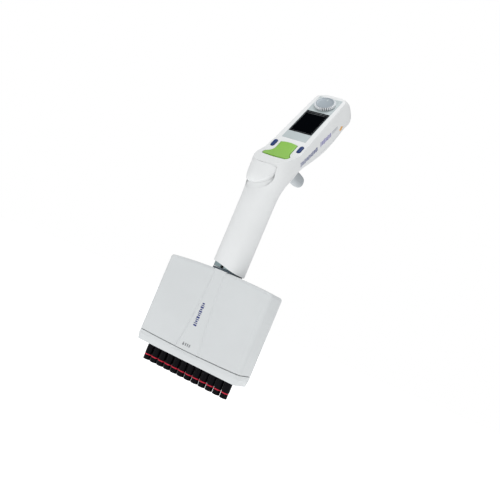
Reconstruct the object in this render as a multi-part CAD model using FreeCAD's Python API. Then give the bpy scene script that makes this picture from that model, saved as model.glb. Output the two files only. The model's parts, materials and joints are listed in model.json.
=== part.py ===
import FreeCAD, Part
import math
import os

from FreeCAD import Vector

# Electronic 12-channel pipette, in millimetres.
# The model is laid out in a bench frame: Z is the axis of the grip tube, z = 0 is the open end of the tip
# cones, X runs along the row of cones and -Y is the side that carries the display.  Every shape is moved on
# export so that the origin is the middle of the flat pad under the finger hook, where a stand holds it.

# --- driving dimensions ------------------------------------------------------------------------------
CHANNELS = 12
PITCH = 9.0                  # standard spacing of microplate wells
FIT = 0.05                   # radial play of running fits
GAP = 0.3                    # play between bodies that pass each other

LAND_R = 3.95                # tip cone, lower end
SHANK_R = 4.2
STEM_R = 2.4
CHANNEL_R = 0.9
SHANK_TOP = 20.0
STEM_TOP = 30.5
RING_Z = 5.5                 # centre of the O-ring
RING_WIRE = 0.65
RING_SEAT_R = 2.85

HALF_W = 63.4                # lower housing
HALF_D = 15.7
HOUSING_WALL = 2.0
CORNER_R = 5.0
SEAM_END_Z = 29.3            # the seam above the ejector strip sags towards the middle
SEAM_MID_Z = 28.0
ROOF_END_Z = 113.0           # the roof is arched
ROOF_MID_Z = 116.4
BAND_Y = -17.0               # raised band down the middle of the front; it flares towards the seam
BAND_TOP_HALF = 8.0
BAND_FLARE = 6.5
BAND_EDGE_R = 4.6
COVER_SPLIT_Y = 6.0
SEAM = 0.16
STRIP_Z = 18.0
STRIP_FLOOR = 1.5
STRIP_TAPER = 1.2
SKIRT_TOP = 37.0

BLOCK_Z = 24.0               # cylinder block
BLOCK_TOP = 70.5
BORE_FLOOR = 28.0
BORE_R = 3.5
PISTON_R = 3.35
PISTON_Z = 35.5
BAR_Z = 71.5
BAR_T = 3.5
POST_X = 55.2
POST_R = 1.5

NECK_R = 8.0                 # hollow neck that the handle swivels on
NECK_BORE = 5.0
PIN_Y = 10.8                 # push pins of the ejector frame
PIN_R = 1.4

TUBE_R = 18.3                # grip tube
WALL = 1.8
PANEL_TILT = 34.4            # head panel against the tube axis, degrees
PANEL_POINT = (-14.5, 225.0)  # y, z of the point where distances along the panel start
DECK_TILT = 53.2             # ramp below the rocker
CREASE_L = 40.0              # where ramp and panel meet
SPLIT_N = -16.0              # depth of the seam between the head shells where l = 0
SPLIT_FALL = 0.13            # and how much deeper it lies for each millimetre along the head
TUBE_SPLIT_Y = 9.0

MOTOR_Z = (168.0, 198.0)
ROD_Y = -15.1                # ejector rod
ROD_R = 1.1
SEAT = Vector(0.0, 54.0, 238.2)   # middle of the pad under the hook

COIL_STEPS = 12              # sections in a turn of a spring, and corners round its wire
COIL_SIDES = 5


# --- small helpers -----------------------------------------------------------------------------------
def box(x0, x1, y0, y1, z0, z1):
    return Part.makeBox(x1 - x0, y1 - y0, z1 - z0, Vector(x0, y0, z0))


def cyl(radius, z0, z1, x=0.0, y=0.0):
    return Part.makeCylinder(radius, z1 - z0, Vector(x, y, z0))


def ring(outer, inner, z0, z1, x=0.0, y=0.0):
    return cyl(outer, z0, z1, x, y).cut(cyl(inner, z0 - 1, z1 + 1, x, y))


def cyl_y(radius, y0, y1, x, z):
    return Part.makeCylinder(radius, y1 - y0, Vector(x, y0, z), Vector(0, 1, 0))


def fuse(shapes):
    first = shapes[0]
    return first.multiFuse(shapes[1:]).removeSplitter() if len(shapes) > 1 else first


def fuse_all(shapes):
    return shapes[0].multiFuse(shapes[1:])


def polygon_x(points, half):
    """Prism along X over a closed outline of (y, z) points."""
    corners = [Vector(-half, y, z) for y, z in points]
    return Part.Face(Part.makePolygon(corners + corners[:1])).extrude(Vector(2 * half, 0, 0))


def spline_edge(points):
    curve = Part.BSplineCurve()
    curve.interpolate(points)
    return curve.toShape()


def arc(a, b, c):
    return Part.Arc(a, b, c).toShape()


def line(a, b):
    return Part.LineSegment(a, b).toShape()


def rounded(shape, radius, wanted):
    """Fillet the edges that a test picks; the plain shape is kept if they can't take the radius."""
    edges = [e for e in shape.Edges if wanted(e)]
    try:
        smooth = shape.makeFillet(radius, edges)
        return smooth if smooth.isValid() and smooth.Volume > 0 else shape
    except Part.OCCError:
        return shape


def closed_loft(rings):
    """Solid under one cubic B-spline surface over equal closed rings of control points."""
    around, along = len(rings[0]), len(rings)
    surface = Part.BSplineSurface()
    surface.buildFromPolesMultsKnots(
        [[rings[j][i] for j in range(along)] for i in range(around)],
        [1] * (around + 1),
        [4] + [1] * (along - 4) + [4],
        [float(i) for i in range(around + 1)],
        [float(j) for j in range(along - 2)],
        True,
        False,
        3,
        3,
    )
    side = surface.toShape()
    ends = [e for e in side.Edges if e.isClosed()]
    shell = Part.makeShell([side] + [Part.Face(Part.Wire([e])) for e in ends])
    shell.sewShape()
    return Part.makeSolid(shell)


def coil(radius, wire, z0, z1, turns, x=0.0, y=0.0):
    """Compression spring: a ruled loft of small polygons along a helix."""
    steps = COIL_STEPS * turns
    wires = []
    for j in range(steps + 1):
        a = 2 * math.pi * j / COIL_STEPS
        centre = Vector(x, y, z0 + wire + (z1 - z0 - 2 * wire) * j / steps)
        out = Vector(math.cos(a), math.sin(a), 0)
        corners = []
        for k in range(COIL_SIDES):
            t = 2 * math.pi * k / COIL_SIDES
            corners.append(centre + out * (radius + wire * math.cos(t)) + Vector(0, 0, wire * math.sin(t)))
        wires.append(Part.makePolygon(corners + corners[:1]))
    return Part.makeLoft(wires, True, True)


def channel_x():
    middle = (CHANNELS - 1) / 2
    return [(i - middle) * PITCH for i in range(CHANNELS)]


# --- head panel frame: x across, l along the panel, n out of it -----------------------------------------
def tilt_axes(degrees):
    a = math.radians(degrees)
    return Vector(0, math.sin(a), math.cos(a)), Vector(0, -math.cos(a), math.sin(a))


ALONG, OUT = tilt_axes(PANEL_TILT)
DECK_ALONG, DECK_OUT = tilt_axes(DECK_TILT)
PANEL_BASE = Vector(0, *PANEL_POINT)
CREASE = PANEL_BASE + ALONG * CREASE_L


def panel_point(x, l, n):
    return PANEL_BASE + Vector(x, 0, 0) + ALONG * l + OUT * n


def on_panel(shape):
    """Move a shape built in panel coordinates (x, l, n) to its place on the head."""
    turn = FreeCAD.Rotation(Vector(1, 0, 0), ALONG, OUT, "XYZ")
    placed = shape.copy()
    placed.Placement = FreeCAD.Placement(PANEL_BASE, turn).multiply(placed.Placement)
    return placed


def panel_box(x0, x1, l0, l1, n0, n1):
    return on_panel(box(x0, x1, l0, l1, n0, n1))


def panel_cyl(radius, x, l, n0, n1):
    return on_panel(cyl(radius, n0, n1, x, l))


def oval(x, l, width, length, n0, n1):
    """Rounded slot along the panel: two half circles joined by straight sides."""
    reach = (length - width) / 2
    ends = [cyl(width / 2, n0, n1, x, l + s * reach) for s in (-1, 1)]
    return on_panel(fuse(ends + [box(x - width / 2, x + width / 2, l - reach, l + reach, n0, n1)]))


# --- handle body -------------------------------------------------------------------------------------
# y, z, tilt, half width, reach to the front, reach to the back, roundness exponent
TUBE_STATIONS = [
    (0.0, 108.0, 0.0, TUBE_R, TUBE_R, TUBE_R, 2.0),
    (0.0, 150.0, 0.0, TUBE_R, TUBE_R, TUBE_R, 2.0),
    (0.0, 185.0, 0.0, TUBE_R, TUBE_R, 18.8, 2.0),
    (0.0, 203.0, 0.0, TUBE_R, TUBE_R, 19.0, 2.0),
    (0.0, 213.0, 2.0, 18.8, 18.9, 19.4, 2.1),
    (0.5, 224.0, 8.0, 20.2, 23.6, 20.8, 2.25),
    (2.0, 234.0, 16.0, 21.2, 27.8, 23.6, 2.45),
    (6.0, 244.0, 25.0, 21.6, 28.2, 25.0, 2.7),
    (12.0, 253.0, 31.0, 21.8, 24.0, 20.6, 3.0),
]
# y, z, tilt and the rest for the nose, which replace the body's stations at the same places
NOSE_STATIONS = {
    4: (0.0, 213.0, 2.0, 19.6, 26.0, 19.4, 2.1),
    5: (0.5, 224.0, 8.0, 20.4, 26.8, 20.8, 2.25),
}
# l, half width, reach to the back; the head sections are centred a little below the panel
HEAD_STATIONS = [
    (50.0, 21.7, 19.0),
    (62.0, 21.5, 23.4),
    (75.0, 21.3, 27.8),
    (90.0, 21.0, 31.6),
    (106.0, 20.8, 34.2),
    (122.0, 20.5, 34.8),
    (136.0, 20.2, 34.2),
    (147.0, 19.9, 33.2),
]
HEAD_CENTRE_N = -8.0
HEAD_FRONT = 14.0
HEAD_POWER = 3.5
CAP_REACH = 22.0
CAP_DROP = 12.0
CAP_TURN = 20.0
CAP_POWER = 3.0
CAP_SECTION_POWER = 3.0
CAP_STEPS = (0.3, 0.55, 0.75, 0.88, 0.96, 0.995)
SECTION_POINTS = 32
SPLINE_SHRINK = (2 + math.cos(2 * math.pi / SECTION_POINTS)) / 3   # a closed cubic runs inside its points


def section(centre, tilt, half_x, front, back, power):
    """Ring of control points on a superellipse, with its own reach to the front and to the back."""
    out = tilt_axes(tilt)[1]
    points = []
    for k in range(SECTION_POINTS):
        t = 2 * math.pi * k / SECTION_POINTS
        c = math.copysign(abs(math.cos(t)) ** (2 / power), math.cos(t)) / SPLINE_SHRINK
        s = math.copysign(abs(math.sin(t)) ** (2 / power), math.sin(t)) / SPLINE_SHRINK
        points.append(centre + Vector(half_x * c, 0, 0) + out * (s * (front if s > 0 else back)))
    return points


def cap_shrink(u, power):
    """Scale of a section in a rounded end, from 1 where the end starts to 0 at its tip."""
    return (1 - u ** power) ** (1 / power)


def handle_rings(inset, nose):
    rings = []
    for i, station in enumerate(TUBE_STATIONS):
        y, z, tilt, half_x, front, back, power = NOSE_STATIONS.get(i, station) if nose else station
        rings.append(section(Vector(0, y, z), tilt, half_x - inset, front - inset, back - inset, power))
    front = HEAD_FRONT - inset
    for l, half_x, back in HEAD_STATIONS:
        centre = panel_point(0, l, HEAD_CENTRE_N)
        rings.append(section(centre, PANEL_TILT, half_x - inset, front, back - inset, HEAD_POWER))
    end_l, end_x, end_back = HEAD_STATIONS[-1]
    for u in CAP_STEPS:
        shrink = cap_shrink(u, CAP_POWER)
        centre = panel_point(0, end_l + (CAP_REACH - inset) * u, HEAD_CENTRE_N - CAP_DROP * u)
        tilt = PANEL_TILT - CAP_TURN * u
        half_x, back = shrink * (end_x - inset), shrink * (end_back - inset)
        rings.append(section(centre, tilt, half_x, shrink * front, back, CAP_SECTION_POWER))
    return rings


def above_panel(inset):
    """Everything in front of the head panel and the rocker ramp, moved inwards by inset."""
    corner = CREASE - (OUT + DECK_OUT) * (inset / (1 + OUT.dot(DECK_OUT)))
    up = corner + ALONG * 170
    down = corner - DECK_ALONG * 90
    far = up + OUT * 150
    low = down + DECK_OUT * 120
    return polygon_x([(p.y, p.z) for p in (corner, up, far, low, down)], 60)


NOSE_HALF = 15.0             # pocket of the ejector button
NOSE_TOP = 234.2
NOSE_TRAVEL = 6.6            # room below the button's rim for its stroke
NOSE_RIM = ((-14.6, 233.9), (-14.6, 227.0), (-14.5, 221.0), (-13.6, 216.4), (-11.4, 213.2), (-8.0, 212.0),
            (-1.0, 212.6), (5.0, 215.2), (10.6, 219.9), (14.0, 226.0), (14.6, 233.9))


def behind_rim(stretch, drop, top):
    """Block in front of the tube over the button's rim; drop lowers the rim and stretch widens it."""
    points = [Vector(x * stretch, -45, z - drop) for x, z in NOSE_RIM]
    corners = [Vector(points[-1].x, -45, top), Vector(points[0].x, -45, top)]
    edges = [spline_edge(points), line(points[-1], corners[0]), line(corners[0], corners[1])]
    edges.append(line(corners[1], points[0]))
    return Part.Face(Part.Wire(edges)).extrude(Vector(0, 40, 0))


def nose_pocket(inset):
    stretch = (NOSE_HALF + inset) / NOSE_RIM[-1][0]
    pocket = behind_rim(stretch, NOSE_TRAVEL + inset, NOSE_TOP + inset)
    return pocket.cut(cyl(TUBE_R - inset, NOSE_RIM[0][1] - 60, NOSE_TOP + 10))


def handle_volume(inset):
    body = closed_loft(handle_rings(inset, False)).cut(above_panel(inset))
    return body.cut(nose_pocket(inset))


def split_n(l):
    return SPLIT_N - SPLIT_FALL * l


def rear_side(gap):
    """Everything behind the seam between the front and rear shells."""
    y = TUBE_SPLIT_Y + gap
    start = panel_point(0, 0, split_n(0) - gap)
    end = panel_point(0, 190, split_n(190) - gap)
    bend = start + (end - start) * ((y - start.y) / (end.y - start.y))
    outline = [(y, 90), (y, bend.z), (end.y, end.z), (200, end.z), (200, 90)]
    return polygon_x(outline, 60)


def below_tube_edge():
    """The lower rim of the tube swings up on one side and leaves the swivel collar showing."""
    rim = [Vector(x, -40, z) for x, z in ((-24, 124.6), (-9, 123.3), (3, 120.9), (9, 119.2), (24, 117.9))]
    left, right = Vector(-24, -40, 90), Vector(24, -40, 90)
    wire = Part.Wire([spline_edge(rim), line(rim[-1], right), line(right, left), line(left, rim[0])])
    return Part.Face(wire).extrude(Vector(0, 80, 0))


# --- control panel -----------------------------------------------------------------------------------
INLAY_HALF = 14.8
INLAY_L = (63.0, 149.0)
WINDOW_HALF = 14.2
WINDOW_L = (76.5, 118.5)
INLAY_T = 0.9
DIAL_L = 134.0
DIAL_R = 12.2
DIAL_N = (0.45, 4.0)
KEY_X = 16.2
KEY_L = 49.6
KEY_SIZE = (4.4, 11.6)
PIVOT_N = -3.2
TOE_PLAY = 0.6
BOARD_N = (-10.6, -9.0)


def rocker_outline(grow):
    """Thumb rocker seen from the front: a straight upper part that flares into a wide lower lip."""
    top, shoulder, waist, lip, low = 55.7, 43.5, 38.5, 29.2, 22.4
    upper, tip = 10.2, 15.4
    g = grow
    right = [
        Vector(upper + g, top - 1.5 + g, 0),
        Vector(upper + g, shoulder, 0),
        Vector(upper + 0.5 + g, waist - g, 0),
        Vector(tip - 0.6 + g, lip + 1.4 + g, 0),
        Vector(tip + g, lip - 1.4, 0),
        Vector(tip - 1.8 + 0.5 * g, low + 1.2 - g, 0),
    ]
    left = [Vector(-p.x, p.y, 0) for p in right]
    edges = []
    for side in (right, left):
        edges.append(line(side[0], side[1]))
        edges.append(arc(side[1], side[2], side[3]))
        edges.append(arc(side[3], side[4], side[5]))
    edges.append(arc(right[5], Vector(0, low - g, 0), left[5]))
    edges.append(arc(right[0], Vector(0, top + g, 0), left[0]))
    return Part.Wire(Part.__sortEdges__(edges))


def rocker_prism(grow):
    prism = Part.Face(rocker_outline(grow)).extrude(Vector(0, 0, 60))
    prism.translate(Vector(0, 0, -20))
    return on_panel(prism)


def rocker_opening():
    """Clearance round the rocker, with extra play below the toe, which swings down the ramp."""
    opening = rocker_prism(0.5)
    toe = opening.copy()
    toe.translate(ALONG * -TOE_PLAY)
    return opening.fuse(toe).common(above_panel(6.0))


def rocker_layer():
    """Side outline of the rocker: it follows ramp and panel, with a dished top."""
    base = CREASE - (OUT + DECK_OUT) * (2.6 / (1 + OUT.dot(DECK_OUT)))
    low_in = base - DECK_ALONG * 26
    high_in = base + ALONG * 20
    low_out = CREASE - DECK_ALONG * 24 + DECK_OUT * 2.3
    high_out = CREASE + ALONG * 18 + OUT * 1.5
    dish = CREASE + (OUT + DECK_OUT) * 0.75
    edges = [line(low_in, base), line(base, high_in), line(high_in, high_out)]
    edges.append(arc(high_out, dish, low_out))
    edges.append(line(low_out, low_in))
    face = Part.Face(Part.Wire(edges))
    face.translate(Vector(-25, 0, 0))
    return face.extrude(Vector(50, 0, 0))


def pin_x(radius, half, l, n):
    return Part.makeCylinder(radius, 2 * half, panel_point(-half, l, n), Vector(1, 0, 0))


def rocker():
    plate = rocker_prism(0).common(rocker_layer())
    boss = pin_x(2.3, 9.6, CREASE_L, PIVOT_N)
    stubs = [panel_cyl(1.3, 0, l, -6.0, n) for l, n in ((30.0, 3.0), (50.0, -1.0))]
    return fuse([plate, boss] + stubs).cut(pin_x(1.0 + FIT, 12, CREASE_L, PIVOT_N))


def rocker_pin():
    return pin_x(1.0, 13.0, CREASE_L, PIVOT_N)


def softkey(side):
    width, length = KEY_SIZE
    face = oval(side * KEY_X, KEY_L, width, length, -3.0, 0.9)
    flange = oval(side * KEY_X, KEY_L, width + 1.4, length + 1.6, -3.0, -2.1)
    stem = panel_cyl(1.1, side * KEY_X, KEY_L, -5.0, -3.0)
    return fuse([face, flange, stem])


def display_inlay():
    plate = panel_box(-INLAY_HALF, INLAY_HALF, *INLAY_L, 0.05 - INLAY_T, 0.1)
    hole = panel_box(-WINDOW_HALF - 0.05, WINDOW_HALF + 0.05, WINDOW_L[0], WINDOW_L[1], -3, 3)
    return plate.cut(hole).cut(panel_cyl(3.6, 0, DIAL_L, -3, 3))


def display_window():
    return panel_box(-WINDOW_HALF, WINDOW_HALF, WINDOW_L[0] + 0.05, WINDOW_L[1] - 0.05, 0.05 - INLAY_T, 0.2)


def display_module():
    return panel_box(-14.0, 14.0, WINDOW_L[0] - 1, WINDOW_L[1] + 1, -6.0, -1.9)


def main_board():
    parts = [panel_box(-15.5, 15.5, 30, 148, *BOARD_N), panel_box(-18.0, 18.0, 44, 58, *BOARD_N)]
    parts.append(panel_box(-6, 6, DIAL_L - 6, DIAL_L + 6, BOARD_N[1], -6.3))
    for x, l, top in ((-KEY_X, KEY_L, -6.0), (KEY_X, KEY_L, -6.0), (0, 30, -7.3), (0, 50, -7.3)):
        parts.append(panel_box(x - 1.8, x + 1.8, l - 2, l + 2, BOARD_N[1], top))
    parts.append(panel_box(-4.2, 4.2, 140, 162, -14.0, BOARD_N[0]))
    return fuse(parts)


def selection_dial():
    disc = cyl(DIAL_R, DIAL_N[0], DIAL_N[1])
    for k in range(36):
        a = math.radians(10 * k)
        disc = disc.cut(cyl(0.55, 0, 5, (DIAL_R + 0.2) * math.cos(a), (DIAL_R + 0.2) * math.sin(a)))
    dish = cyl(9.2, DIAL_N[1] - 0.5, DIAL_N[1] + 1)
    knob = fuse([disc.cut(dish), cyl(3.0, -6.0, DIAL_N[0] + 0.5)])
    knob.translate(Vector(0, DIAL_L, 0))
    return on_panel(knob)


def battery_pack():
    pack = box(-11.4, 11.4, 88, 130, -36.0, -29.2)
    return on_panel(rounded(pack, 2.5, lambda e: abs(e.Length - 42) < 0.01))


# --- handle shells -----------------------------------------------------------------------------------
HATCH_HALF = 12.0
HATCH_L = (92.0, 126.0)
HEAD_SCREWS = [(x, l) for x in (-10.0, 10.0) for l in (66.0, 137.0)]
SCREW_R = 0.9                # shell screws
SCREW_CORE_R = 0.92
SCREW_CLEAR_R = 1.05
SCREW_HEAD_R = 1.9
SCREW_RECESS_R = 2.1
SCREW_HEAD_H = 1.4
TUBE_SCREW_SEAT = 12.6
TUBE_SCREW_X = 10.6
TUBE_SCREW_Z = 151.0
SOCKET_HALF = 4.5
OUTER = handle_volume(0.0)
SHELL = OUTER.cut(handle_volume(WALL)).cut(below_tube_edge())


def screw_seat_n(l):
    return split_n(l) - 3.0


def front_shell():
    lugs = [pin_x(2.4, 13.4, CREASE_L, PIVOT_N).cut(pin_x(3, 10.9, CREASE_L, PIVOT_N))]
    for x, l in HEAD_SCREWS:
        side = math.copysign(24, x)
        rib = panel_box(min(x, side), max(x, side), l - 1, l + 1, split_n(l) - 1, -11.5)
        lugs.append(fuse([panel_cyl(3.0, x, l, split_n(l) - 1, -11.5), rib]).common(OUTER))
    for x in (-TUBE_SCREW_X, TUBE_SCREW_X):
        lugs.append(cyl_y(3.0, -14, TUBE_SPLIT_Y - 0.1, x, TUBE_SCREW_Z).common(OUTER))
    shell = SHELL.multiFuse(lugs).cut(rear_side(-SEAM / 2))
    inlay_x = INLAY_HALF + FIT
    openings = [
        rocker_opening(),
        panel_box(-inlay_x, inlay_x, INLAY_L[0] - FIT, INLAY_L[1] + FIT, 0.02 - INLAY_T, 5),
        panel_box(-13, 13, WINDOW_L[0] + 1.5, WINDOW_L[1] - 1.5, -5, 5),
        panel_cyl(3.6, 0, DIAL_L, -5, 5),
        panel_box(-SOCKET_HALF, SOCKET_HALF, 150, 180, -14.2, -10.4),
        box(-2.6, 2.6, -19, -12, 215.5, 226.6),
        pin_x(1.0, 13.2, CREASE_L, PIVOT_N),
    ]
    width, length = KEY_SIZE
    openings += [oval(s * KEY_X, KEY_L, width + 0.6, length + 0.6, -5, 5) for s in (-1, 1)]
    openings += [panel_cyl(SCREW_CORE_R, x, l, split_n(l) - 2, -12.5) for x, l in HEAD_SCREWS]
    openings += [cyl_y(SCREW_CORE_R, 0, 12, x, TUBE_SCREW_Z) for x in (-TUBE_SCREW_X, TUBE_SCREW_X)]
    return shell.cut(fuse_all(openings))


def hatch_tool(grow):
    return panel_box(-HATCH_HALF - grow, HATCH_HALF + grow, HATCH_L[0] - grow, HATCH_L[1] + grow, -60, -32)


def rear_shell():
    bosses = [panel_cyl(3.4, x, l, -60, split_n(l) + 1).common(OUTER) for x, l in HEAD_SCREWS]
    for x in (-TUBE_SCREW_X, TUBE_SCREW_X):
        bosses.append(cyl_y(3.0, TUBE_SPLIT_Y + 0.1, 20, x, TUBE_SCREW_Z).common(OUTER))
    shell = SHELL.multiFuse(bosses).common(rear_side(SEAM / 2))
    openings = [hatch_tool(GAP)]
    openings += [panel_cyl(SCREW_RECESS_R, x, l, -60, screw_seat_n(l)) for x, l in HEAD_SCREWS]
    openings += [panel_cyl(SCREW_CLEAR_R, x, l, -60, -10) for x, l in HEAD_SCREWS]
    for x in (-TUBE_SCREW_X, TUBE_SCREW_X):
        openings.append(cyl_y(SCREW_RECESS_R, TUBE_SCREW_SEAT, 30, x, TUBE_SCREW_Z))
        openings.append(cyl_y(SCREW_CLEAR_R, 0, 30, x, TUBE_SCREW_Z))
    return shell.cut(fuse_all(openings))


def battery_cover():
    return SHELL.common(hatch_tool(0.0))


def shell_screws():
    screws = []
    for x, l in HEAD_SCREWS:
        seat = screw_seat_n(l)
        head = panel_cyl(SCREW_HEAD_R, x, l, seat - SCREW_HEAD_H, seat)
        screws.append(fuse([head, panel_cyl(SCREW_R, x, l, seat, -13.0)]))
    seat = TUBE_SCREW_SEAT
    for x in (-TUBE_SCREW_X, TUBE_SCREW_X):
        head = cyl_y(SCREW_HEAD_R, seat, seat + SCREW_HEAD_H, x, TUBE_SCREW_Z)
        screws.append(fuse([head, cyl_y(SCREW_R, 1.0, seat, x, TUBE_SCREW_Z)]))
    return Part.makeCompound(screws)


# y, height of the middle, half width, reach upwards, reach downwards
HOOK_STATIONS = [
    (14.0, 243.0, 11.0, 16.0, 12.0),
    (22.0, 244.0, 10.0, 13.0, 9.0),
    (30.0, 245.2, 8.8, 9.4, 6.6),
    (40.0, 245.7, 7.7, 7.4, 7.6),
    (52.0, 245.9, 7.1, 6.9, 8.0),
    (62.0, 245.7, 6.9, 7.1, 7.9),
    (69.6, 245.4, 6.7, 6.8, 7.6),
]
HOOK_NOSE = 9.6              # length of the rounded end
HOOK_POWER = 2.5
HOOK_NOSE_POWER = 2.3


def finger_hook():
    """Lobe behind the grip with a round nose; its underside is cut flat where a stand carries it."""
    rings = []
    for y, z, half, up, down in HOOK_STATIONS:
        rings.append(section(Vector(0, y, z), 90.0, half, up, down, HOOK_POWER))
    end_y, end_z, half, up, down = HOOK_STATIONS[-1]
    for u in CAP_STEPS:
        shrink = cap_shrink(u, HOOK_NOSE_POWER)
        centre = Vector(0, end_y + HOOK_NOSE * u, end_z)
        rings.append(section(centre, 90.0, half * shrink, up * shrink, down * shrink, HOOK_POWER))
    lobe = closed_loft(rings).cut(box(-20, 20, 38, 90, SEAT.z - 20, SEAT.z))
    return lobe.cut(handle_volume(0.0))


# --- ejector -----------------------------------------------------------------------------------------
def ejector_button():
    """Part of the nose in front of the tube, above a rim that rises to one side."""
    nose = closed_loft(handle_rings(0.0, True)).cut(above_panel(0.0))
    shell = nose.common(behind_rim(1.0, 0.0, NOSE_RIM[0][1] + 0.01)).cut(cyl(TUBE_R + GAP, 200, 240))
    bridge = box(-2.2, 2.2, -19.4, -8.0, 222.5, 226.0)
    return fuse([shell, bridge]).cut(cyl(ROD_R, 221, 225, 0, ROD_Y))


def ejector_rod():
    foot = ring(13.5, 9.5, 126.5, 129.0)
    tab = box(-1.7, 1.7, -16.1, -11, 126.5, 129.0)
    return fuse([foot, tab, cyl(ROD_R, 127.0, 225.0, 0, ROD_Y)])


def ejector_spring():
    return coil(2.4, 0.35, 204.2, 222.4, 8, 0, -10.6)


# --- drive in the handle ---------------------------------------------------------------------------------
def rod_notch(z0, z1):
    return box(-1.7, 1.7, -18, -13.3, z0, z1)


def motor_stator():
    return ring(13.3, 7.3, *MOTOR_Z)


def motor_rotor():
    low, high = MOTOR_Z
    return fuse([ring(6.9, 2.6, low + 1, high - 1), ring(4.4, 2.6, low - 4, high + 4)])


def motor_bracket():
    low, high = MOTOR_Z
    plates = []
    for z0, z1 in ((low - 3.0, low), (high, high + 3.0)):
        plate = ring(16.3, 4.5, z0, z1)
        plates.append(plate.cut(rod_notch(z0 - 1, z1 + 1)).cut(box(-20, 20, 8.6, 9.4, z0 - 1, z1 + 1)))
    seat = ring(3.2, 1.0, high + 3.0, 204.1, 0, -10.6)
    plates[1] = plates[1].fuse(seat.cut(cyl(4.6, 190, 210)))
    return Part.makeCompound([s for p in plates for s in p.Solids])


def swivel_bush():
    collar = ring(16.4, 13.9, 118.9, 136.0)
    disc = ring(16.4, NECK_R + FIT, 129.9, 136.0)
    return fuse([collar, disc]).cut(box(-2.0, 2.0, -18, -13.2, 110, 140))


# --- lower part ----------------------------------------------------------------------------------------
def plan_face(inset, z):
    """Rounded rectangle of the housing in plan."""
    x, y, r = HALF_W - inset, HALF_D - inset, CORNER_R - min(inset, CORNER_R - 1)
    k = r * (1 - math.sqrt(0.5))
    edges = []
    corners = [(x, y), (-x, y), (-x, -y), (x, -y)]
    for i, (cx, cy) in enumerate(corners):
        sx, sy = math.copysign(1, cx), math.copysign(1, cy)
        on_x = Vector(cx - sx * r, cy, z)
        on_y = Vector(cx, cy - sy * r, z)
        middle = Vector(cx - sx * k, cy - sy * k, z)
        first, last = (on_y, on_x) if i % 2 == 0 else (on_x, on_y)
        edges.append(arc(first, middle, last))
        nx, ny = corners[(i + 1) % 4]
        if i % 2 == 0:
            edges.append(line(last, Vector(nx + sx * r, ny, z)))
        else:
            edges.append(line(last, Vector(nx, ny + sy * r, z)))
    return Part.Wire(edges)


def arched(mid_z, end_z, x):
    return mid_z + (end_z - mid_z) * (x / HALF_W) ** 2


def silhouette(roof_drop, floor_drop):
    """Arched roof and sagging lower edge seen from the front; it reaches past the sides of the housing."""
    x, y = HALF_W + 6, -40
    seam_z = arched(SEAM_MID_Z, SEAM_END_Z, x) - floor_drop
    roof_z = arched(ROOF_MID_Z, ROOF_END_Z, x) - roof_drop
    a, b = Vector(-x, y, seam_z), Vector(x, y, seam_z)
    c, d = Vector(x, y, roof_z), Vector(-x, y, roof_z)
    low, top = Vector(0, y, SEAM_MID_Z - floor_drop), Vector(0, y, ROOF_MID_Z - roof_drop)
    wire = Part.Wire([arc(a, low, b), line(b, c), arc(c, top, d), line(d, a)])
    return Part.Face(wire).extrude(Vector(0, 80, 0))


def band_half(z):
    return BAND_TOP_HALF + BAND_FLARE * ((ROOF_MID_Z - z) / 75) ** 1.8


def raised_band():
    """Band that widens in a curve from the neck down to the seam, with softly rounded long edges."""
    heights = (ROOF_MID_Z, 100.0, 82.0, 64.0, 46.0, 28.0, 10.0)
    right = [Vector(band_half(z), BAND_Y, z) for z in heights]
    left = [Vector(-p.x, p.y, p.z) for p in reversed(right)]
    foot, top = line(right[-1], left[0]), line(left[-1], right[0])
    wire = Part.Wire([spline_edge(right), foot, spline_edge(left), top])
    band = Part.Face(wire).extrude(Vector(0, -BAND_Y, 0))

    def long_front_edge(edge):
        return edge.BoundBox.YMax < BAND_Y + 0.01 and edge.BoundBox.ZLength > 60

    return rounded(band, BAND_EDGE_R, long_front_edge)


def housing_outer():
    front = silhouette(0, 0)
    body = Part.Face(plan_face(0, 0)).extrude(Vector(0, 0, 140)).common(front)
    body = rounded(body, 3.0, lambda e: e.BoundBox.ZMin > 105 and e.BoundBox.ZMax - e.BoundBox.ZMin < 8)
    return body.fuse(raised_band().common(front))


def housing_inner():
    inner = silhouette(HOUSING_WALL, 4)
    return Part.Face(plan_face(HOUSING_WALL, 0)).extrude(Vector(0, 0, 140)).common(inner)


COVER_SCREW_X = 56.3
COVER_SCREW_Z = (48.0, 62.0)


def cover_screw_places():
    return [(s * COVER_SCREW_X, z) for s in (-1, 1) for z in COVER_SCREW_Z]


def lower_covers():
    walls = housing_outer().cut(housing_inner())
    boss = cyl(13.0, 112.0, 115.5)
    front_bosses = [cyl_y(2.6, -14.5, -8.05, x, z) for x, z in cover_screw_places()]
    rear_bosses = [cyl_y(2.9, 8.05, 14.5, x, z) for x, z in cover_screw_places()]
    walls = walls.multiFuse([boss] + front_bosses + rear_bosses)
    holes = [cyl(NECK_R + 0.1, 100, 130)]
    holes += [cyl(PIN_R + GAP, 100, 130, 0, s * PIN_Y) for s in (-1, 1)]
    holes += [cyl_y(1.05, -13.2, 0, x, z) for x, z in cover_screw_places()]
    holes += [cyl_y(1.35, 0, 20, x, z) for x, z in cover_screw_places()]
    holes += [cyl_y(2.4, 13.0, 20, x, z) for x, z in cover_screw_places()]
    walls = walls.cut(fuse_all(holes))
    front = walls.common(box(-80, 80, -40, COVER_SPLIT_Y - SEAM / 2, 0, 140))
    rear = walls.common(box(-80, 80, COVER_SPLIT_Y + SEAM / 2, 40, 0, 140))
    return front, rear


def cover_screws():
    screws = []
    for x, z in cover_screw_places():
        screws.append(fuse([cyl_y(1.0, -12.6, 13.0, x, z), cyl_y(2.1, 13.0, 14.6, x, z)]))
    return Part.makeCompound(screws)


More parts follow.
